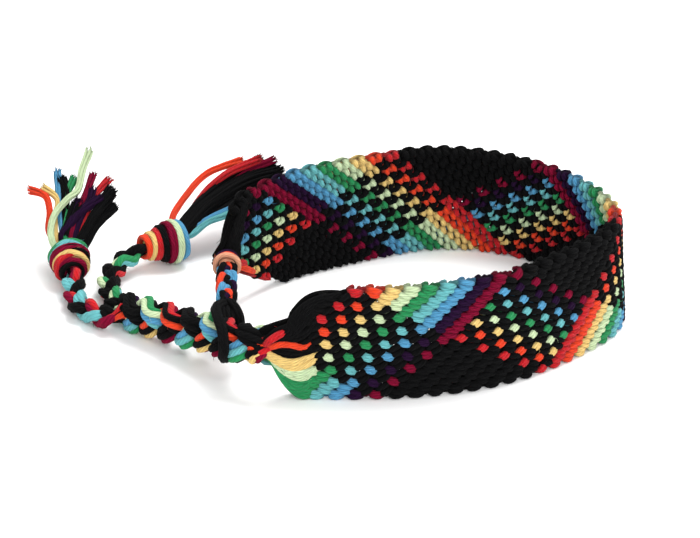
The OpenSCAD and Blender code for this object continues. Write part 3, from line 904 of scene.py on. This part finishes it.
class BRACELET_OT_tie_braid(bpy.types.Operator):
    """Braids the thick tie out of three strands of seven yarns"""
    bl_idname = "bracelet.tie_braid"
    bl_label = "Tie braid"

    def execute(self, context):
        radius = context.scene.bracelet_sizes.braid_yarn / MM / 2 * TIE_FULLNESS
        braid_pieces("tie_braid_strand", "tie_strand", "tie", TIE_STRANDS, radius, TIE_ROUTE, TIE_ROLL, TIE_BRAID,
                     SEVEN, comes_from=(INSIDE_FRONT_TIP,), goes_to=(LEFT_ROUTE[0], RIGHT_ROUTE[0]))
        return {"FINISHED"}


class BRACELET_OT_thin_braids(bpy.types.Operator):
    """Braids the two thin ends of the tie"""
    bl_idname = "bracelet.thin_braids"
    bl_label = "Thin braids"

    def execute(self, context):
        radius = context.scene.bracelet_sizes.braid_yarn / MM / 2 * THIN_FULLNESS
        for side, route, strands in (("left", LEFT_ROUTE, LEFT_STRANDS), ("right", RIGHT_ROUTE, RIGHT_STRANDS)):
            at, axis = KNOTS[side][:2]
            inside_knot = np.array(at) + unit(np.array(axis, float)) * 2
            braid_pieces(side + "_thin_braid", side + "_braid_strand", side, strands, radius, route, THIN_ROLL,
                         THIN_BRAID, THREE, comes_from=(TIE_ROUTE[-1],), goes_to=(inside_knot,))
        return {"FINISHED"}


class BRACELET_OT_loop(bpy.types.Operator):
    """Braids the loop and lays its eye round the tie"""
    bl_idname = "bracelet.loop"
    bl_label = "Loop and eye"

    def execute(self, context):
        radius = context.scene.bracelet_sizes.braid_yarn / MM / 2
        braid_pieces("loop_braid", "loop_strand", "loop", LOOP_STRANDS, radius, LOOP_ROUTE, LOOP_ROLL, LOOP_BRAID,
                     THREE, comes_from=(INSIDE_LOOP_KNOT,), goes_to=(EYE_ROUTE[0],))
        made = YarnMesh()
        route = smooth_route(EYE_ROUTE, 7, closed=True)
        along = unit(np.roll(route, -1, 0) - np.roll(route, 1, 0))
        wide = np.array(EYE_ACROSS)
        wide = unit(wide - (along @ wide)[:, None] * along)
        thick = np.cross(along, wide)
        rng = chance("eye")
        for a, b in EYE_SIX:
            line = route + wide * a + thick * b
            made.add(line, radius * EYE_SHARE, "black", closed=True, across=wide)
            stray_fibres(made, line, radius * EYE_SHARE, "black", rng, 12)
        for inner in EYE_YARNS:
            for low in (0.0, INNER_EYE_GAP):
                line = smooth_route(np.array(inner) - np.array((0, 0, low)), 6)
                made.add(line, radius * INNER_EYE_SHARE, "black")
        made.piece("loop_eye_yarns", "black_yarn", ["loop_eye"])
        return {"FINISHED"}


# ---------------------------------------------------------------- knots and tassels


# Wrapped knots: where each begins, its axis, and its turns with columns
# (distance along, outer radius, yarn, tilt in degrees, way of the tilt in degrees)
KNOTS = {
    # The loop knot's outer turn is peach yarn painted in shade
    "loop": ((-15.6, -3.8, 9.9), (0.05, -1, 0), "peach_yarn",
             ((0.6, 2.4, "purple", 3, 20), (1.35, 2.4, "orange_red", 4, 80), (1.75, 2.5, "salmon", 4, 80))),
    "left": ((-43.1, 5.2, 3.3), (-0.23, 0.93, 0.3), "green_yarn",
             ((0.6, 2.4, "black", 6, 10), (1.25, 2.8, "maroon", 8, 200), (2.1, 3.2, "crimson", 12, 10),
              (2.6, 3.35, "peach", 12, 190), (3.4, 3.65, "black", 5, 150), (3.85, 3.75, "maroon", 6, 330),
              (4.35, 3.7, "aqua", 6, 60), (4.8, 3.7, "green", 6, 60))),
    "right": ((-31.7, 14.2, 4.2), (0.9, 0.43, 0.03), "red_yarn",
              ((0.65, 2.3, "orange_red", 10, 30), (1.7, 2.7, "peach", 9, 50), (2.8, 3.0, "crimson", 6, 120),
               (3.9, 3.5, "black", 4, 200), (5, 3.9, "maroon", 4, 60), (6.1, 4.1, "pale_green", 5, 30),
               (7.2, 3.7, "sky_blue", 8, 0))),
}


# The two yarns of a turn: how far each lies to its side, and its radius, as shares of the yarn's radius
TURN_PAIR = ((-0.32, 0.68), (0.32, 0.64))
# How far back along the axis, and how much nearer to it, the layer of turns below lies
UNDER_ALONG, UNDER_IN = 0.1, 1.0


def knot_turn(made, at, axis, along, outer, finish, tilt, way, radius, rng):
    """One turn of yarn round an axis, a little tilted."""
    axis = unit(np.array(axis, float))
    x = unit(np.cross(axis, (0, 0, 1)))
    y = np.cross(x, axis)
    a = 2 * math.pi * np.arange(40) / 40
    for half, thin in TURN_PAIR:
        reach = outer - radius * (thin + 0.1 * rng.uniform(0, 1))
        lean = math.tan(math.radians(tilt + rng.normal(0, 1.5)))
        shift = (half * radius * (1 + 0.25 * np.sin(2 * a + rng.uniform(0, 6)))
                 + reach * lean * np.cos(a - math.radians(way)))
        wobble = 1 + 0.018 * np.sin(3 * a + rng.uniform(0, 6)) + 0.01 * np.sin(5 * a + rng.uniform(0, 6))
        line = (np.array(at, float) + axis * along + x * (reach * wobble * np.cos(a))[:, None]
                + y * (reach * wobble * np.sin(a))[:, None] + axis * shift[:, None])
        made.add(line, radius * thin, finish, sides=10, closed=True, across=axis)
        stray_fibres(made, line, radius * thin, finish, rng, 8)


class BRACELET_OT_knots(bpy.types.Operator):
    """Wraps the three knots"""
    bl_idname = "bracelet.knots"
    bl_label = "Wrapped knots"

    def execute(self, context):
        radius = context.scene.bracelet_sizes.wrap_yarn / MM / 2
        for number, (name, (at, axis, slot, turns)) in enumerate(KNOTS.items()):
            made = YarnMesh()
            rng = chance("knots", number)
            for along, outer, finish, tilt, way in turns:
                knot_turn(made, at, axis, along, outer, finish, tilt, way, radius, rng)
            for along, outer, finish, tilt, way in turns[1:]:
                knot_turn(made, at, axis, along - UNDER_ALONG, outer - UNDER_IN, finish, tilt, way, radius, rng)
            made.piece(name + "_knot_turns", slot, [name + "_knot"])
        return {"FINISHED"}


# Loose yarns of the tassels, with columns (yarn, how many lie together, route in millimetres)
LEFT_TASSEL = (
    ("orange_red", 1, ((-46.5, 11, 6.5), (-48, 13.5, 8), (-48, 16.5, 10.5), (-49, 18.5, 12.5), (-52, 20, 13))),
    ("peach", 1, ((-46, 11, 6.5), (-47, 14.5, 9), (-46.5, 17.5, 11.5), (-47.5, 19, 12.5), (-49.5, 20, 13.5))),
    ("sky_blue", 1, ((-45, 11, 6.5), (-46, 15.5, 10), (-46.5, 18.5, 12), (-47, 23, 15.5))),
    ("black", 2, ((-44.5, 11, 6.5), (-45.5, 15.5, 10), (-45.5, 19, 12.5), (-46.5, 21.5, 14.5))),
    ("pale_green", 1, ((-46.9, 9.5, 7.4), (-47.3, 11.8, 9.4), (-46.7, 14.2, 10.9), (-44.8, 16.4, 12.7),
                       (-43, 18.5, 13.6), (-42.5, 22.5, 15.7), (-41.5, 26.5, 18))),
    ("green", 1, ((-44.5, 11, 6.5), (-45, 15, 9.5), (-45, 19, 12.5), (-44, 22, 14.5))),
    ("green", 1, ((-44.5, 10.5, 6.8), (-44.8, 13, 8.8), (-44.3, 15.6, 10.6))),
    ("purple", 3, ((-45.6, 11, 6.5), (-44.8, 13.2, 9), (-42.6, 15.4, 10.8), (-39.6, 17.4, 12.2))),
    ("purple", 2, ((-44, 11, 6.5), (-42.6, 14.6, 9.6), (-41.4, 17, 11.2), (-41, 19, 12.6))),
    ("purple", 3, ((-45.4, 11.5, 7.6), (-44.1, 13, 9.3), (-42.4, 15, 10.8), (-40.5, 16.5, 11.9))),
    ("maroon", 2, ((-43.8, 12, 7.9), (-43, 14.5, 10), (-42.1, 16.5, 11.8))),
    ("purple", 2, ((-44.6, 12, 8), (-43.6, 14.5, 10.2), (-42.7, 16.6, 12.2))),
    ("black", 2, ((-45.1, 12, 8), (-44.3, 14.5, 10.2), (-43.4, 16.3, 12))),
    ("maroon", 1, ((-44, 11, 6.5), (-42.5, 16.5, 11), (-41.5, 19.5, 13), (-40.5, 22.5, 15))),
    ("crimson", 1, ((-43, 11, 6.5), (-42, 14, 8.5), (-40.5, 18, 12), (-37.5, 21.5, 14.5))),
    ("black", 5, ((-42.5, 11, 6.5), (-40.6, 14.5, 9), (-38.8, 17, 11), (-37.2, 19.8, 12.8))),
    ("black", 5, ((-42, 10.5, 6), (-40.2, 13.5, 8.5), (-38.4, 16, 10), (-36.9, 17.3, 11.2))),
)
RIGHT_TASSEL = (
    ("orange_red", 1, ((-26.5, 20.5, 6.5), (-25.5, 24.5, 8), (-21.5, 30.5, 11), (-18, 33, 12), (-14.5, 36, 12))),
    ("black", 2, ((-25, 19.5, 6), (-21.5, 25.5, 8.5), (-16.5, 30.5, 11), (-11, 35, 13))),
    ("black", 4, ((-24.5, 18.5, 5.5), (-21, 24.5, 8), (-14.5, 30, 10.5), (-9, 33.5, 12))),
    ("black", 4, ((-24, 17.5, 5), (-19.5, 24, 8), (-13, 29.5, 10.5), (-7, 32, 11.5))),
    ("black", 3, ((-24, 18, 5), (-20, 23.2, 7.2), (-14, 28.4, 9.4), (-8.4, 31, 10.6))),
    ("black", 2, ((-23.6, 18, 5), (-19, 22.6, 6.8), (-13.4, 27.4, 8.8), (-9.6, 29.6, 9.8))),
    ("crimson", 1, ((-25, 19.5, 5), (-22, 26.5, 8.2), (-17.5, 29.6, 11.6), (-10.8, 33, 13.6))),
    ("maroon", 1, ((-24, 19, 5), (-20, 26.5, 7.8), (-13.5, 31.5, 11.4), (-8.2, 33.6, 13.2))),
    ("sky_blue", 1, ((-23, 19, 5.5), (-20.5, 21, 6.5), (-17, 23, 7.5), (-13.5, 25, 8.5))),
    ("aqua", 1, ((-23, 18, 5), (-20, 20.5, 6.5), (-17, 22, 7), (-13, 24, 8))),
)


# A loose yarn has five plies and one inside them. How far they lie from the yarn's middle and their radius,
# as shares of its radius, the turns for each millimetre, and how far the plies part at the end
PLIES = 5
PLY_OUT, PLY_RADIUS = 0.62, 0.5
INNER_PLY_OUT, INNER_PLY_RADIUS = 0.12, 0.6
PLY_TURNS, PLY_PARTING = 0.035, 0.75
# Fibres at each ply's cut end: how many, how far they reach in millimetres, and their radius along them
END_FIBRES, END_FIBRE_REACH, END_FIBRE_RADIUS = 5, (0.25, 0.8), (0.07, 0.05, 0.02)


def loose_yarn(made, route, radius, finish, rng, at, axis, turns):
    """A yarn that comes out of a knot; its plies part towards the end, which is cut."""
    axis = unit(np.array(axis, float))
    start = np.array(at, float)
    side = unit(np.cross(axis, rng.normal(0, 1, 3))) * rng.uniform(0.2, 1.0)
    deep = start + axis * (turns[0][0] + 0.8) + side
    leaving = start + axis * (turns[-1][0] - 0.4) + side
    line = smooth_route(np.vstack([deep, leaving, np.array(route, float)]), 6)
    along = unit(np.gradient(line, axis=0))
    one = unit(np.cross(along, unit(rng.normal(0, 1, 3))))
    two = np.cross(along, one)
    share = np.linspace(0, 1, len(line))
    parting = 1 + PLY_PARTING * share ** 5
    gone = np.concatenate([[0.0], np.cumsum(np.linalg.norm(np.diff(line, axis=0), axis=1))])
    steps = np.array((0, 0.5, 1))[:, None]
    for ply in range(PLIES + 1):
        out, thick = (PLY_OUT, PLY_RADIUS) if ply < PLIES else (INNER_PLY_OUT, INNER_PLY_RADIUS)
        turn = 2 * math.pi * (ply / PLIES + gone * PLY_TURNS * (1 - 0.4 * share))
        reach = out * radius * parting * (1 + 0.08 * np.sin(gone * 1.3 + ply))
        path = line + one * (np.cos(turn) * reach)[:, None] + two * (np.sin(turn) * reach * 0.8)[:, None]
        path[-1] = path[-2] + (path[-1] - path[-2]) * (1 + rng.uniform(-0.35, 0.1))
        size = radius * thick * (1 - 0.12 * share ** 4)
        size[-1] *= 0.7
        made.add(path, size, finish, sides=6)
        tip, way = path[-1], unit(path[-1] - path[-2])
        for _ in range(END_FIBRES):
            hair = rng.normal(0, 1, 3)
            hair = unit(hair - (hair @ way) * way)
            far = rng.uniform(*END_FIBRE_REACH)
            points = tip - way * 0.1 + hair * (radius * 0.25 + 0.3 * steps * far) + way * far * steps
            made.add(points, END_FIBRE_RADIUS, finish, sides=3)


class BRACELET_OT_tassels(bpy.types.Operator):
    """Lets the loose yarn ends out of the two end knots"""
    bl_idname = "bracelet.tassels"
    bl_label = "Tassels"

    def execute(self, context):
        radius = context.scene.bracelet_sizes.tassel_yarn / MM / 2
        for number, (name, yarns) in enumerate((("left", LEFT_TASSEL), ("right", RIGHT_TASSEL))):
            at, axis, _, turns = KNOTS[name]
            made = YarnMesh()
            rng = chance("tassels", number)
            for finish, together, route in yarns:
                for other in range(together):
                    share = np.linspace(0.45, 0.7, len(route))[:, None]
                    beside = rng.normal(0, 0.85, 3) * share if other else 0
                    loose_yarn(made, np.array(route) + beside, radius, finish, rng, at, axis, turns)
            made.piece(name + "_tassel_yarns", "mixed_yarn", [name + "_tassel"])
        return {"FINISHED"}


# ---------------------------------------------------------------- stage


# The soft lamps: name, place and width in metres, and share of the lamp's power; and the point they face
LAMPS = (("soft_box", (0.12, 0.16, 0.5), 0.32, 1.0), ("fill", (0.12, -0.5, 0.3), 0.4, 0.85))
LAMPS_FACE = (0, 0, 0.01)
# What the camera looks at, in millimetres
AIM = (5.5, 14.25, 0)
# Half the floor's width and its height, a hair under the yarns, in metres
FLOOR_HALF, FLOOR_Z = 3.0, -0.00002


class BRACELET_OT_stage(bpy.types.Operator):
    """Sets the floor, the light and the camera"""
    bl_idname = "bracelet.stage"
    bl_label = "Floor, light and camera"

    def execute(self, context):
        scene = context.scene
        wish = scene.bracelet_stage
        mesh = bpy.data.meshes.new("floor")
        corners = ((-1, -1), (1, -1), (1, 1), (-1, 1))
        mesh.from_pydata([(x * FLOOR_HALF, y * FLOOR_HALF, FLOOR_Z) for x, y in corners], [], [(0, 1, 2, 3)])
        floor = bpy.data.objects.new("floor", mesh)
        scene.collection.objects.link(floor)
        paper = bpy.data.materials.new("pale_floor")
        paper.use_nodes = True
        shader = paper.node_tree.nodes["Principled BSDF"]
        shader.inputs["Base Color"].default_value = (*wish.floor, 1)
        shader.inputs["Roughness"].default_value = 0.9
        shader.inputs["Specular IOR Level"].default_value = 0.1
        mesh.materials.append(paper)

        world = bpy.data.worlds.new("even_light")
        world.use_nodes = True
        world.node_tree.nodes["Background"].inputs["Color"].default_value = (1, 1, 1, 1)
        world.node_tree.nodes["Background"].inputs["Strength"].default_value = wish.sky
        scene.world = world
        for name, place, size, share in LAMPS:
            lamp = bpy.data.lights.new(name, "AREA")
            lamp.shape = "SQUARE"
            lamp.size = size
            lamp.energy = wish.lamp * share
            made = bpy.data.objects.new(name, lamp)
            made.location = place
            made.rotation_mode = "QUATERNION"
            made.rotation_quaternion = (Vector(LAMPS_FACE) - Vector(place)).to_track_quat("-Z", "Y")
            scene.collection.objects.link(made)

        back = Vector((0, -math.cos(wish.camera_height), math.sin(wish.camera_height)))
        lens = bpy.data.cameras.new("camera")
        lens.sensor_width = 36
        lens.lens = wish.lens
        lens.clip_start, lens.clip_end = 0.01, 20
        camera = bpy.data.objects.new("camera", lens)
        camera.location = Vector(AIM) * MM + back * wish.camera_distance
        camera.rotation_mode = "QUATERNION"
        camera.rotation_quaternion = (-back).to_track_quat("-Z", "Y")
        scene.collection.objects.link(camera)
        scene.camera = camera
        scene.view_settings.view_transform = "Standard"
        return {"FINISHED"}


# ---------------------------------------------------------------- panel and start


MAKERS = (
    BRACELET_OT_stage, BRACELET_OT_band, BRACELET_OT_tips, BRACELET_OT_tie_braid, BRACELET_OT_thin_braids,
    BRACELET_OT_loop, BRACELET_OT_knots, BRACELET_OT_tassels,
)


class BRACELET_PT_panel(bpy.types.Panel):
    bl_idname = "BRACELET_PT_panel"
    bl_label = "Friendship Bracelet"
    bl_space_type = "VIEW_3D"
    bl_region_type = "UI"
    bl_category = "Bracelet"

    def draw(self, context):
        layout = self.layout
        for group in ("bracelet_sizes", "bracelet_colours", "bracelet_stage"):
            settings = getattr(context.scene, group)
            box = layout.box()
            for name in settings.__annotations__:
                box.prop(settings, name)
        for maker in MAKERS:
            layout.operator(maker.bl_idname)


GROUPS = {"bracelet_sizes": BraceletSizes, "bracelet_colours": BraceletColours, "bracelet_stage": BraceletStage}


def register():
    for made in (*GROUPS.values(), *MAKERS, BRACELET_PT_panel):
        bpy.utils.register_class(made)
    for name, group in GROUPS.items():
        setattr(bpy.types.Scene, name, bpy.props.PointerProperty(type=group))


def unregister():
    for name in GROUPS:
        delattr(bpy.types.Scene, name)
    for made in reversed((*GROUPS.values(), *MAKERS, BRACELET_PT_panel)):
        bpy.utils.unregister_class(made)


def main():
    register()
    for maker in MAKERS:
        group, name = maker.bl_idname.split(".")
        getattr(getattr(bpy.ops, group), name)()


if __name__ == "__main__":
    main()
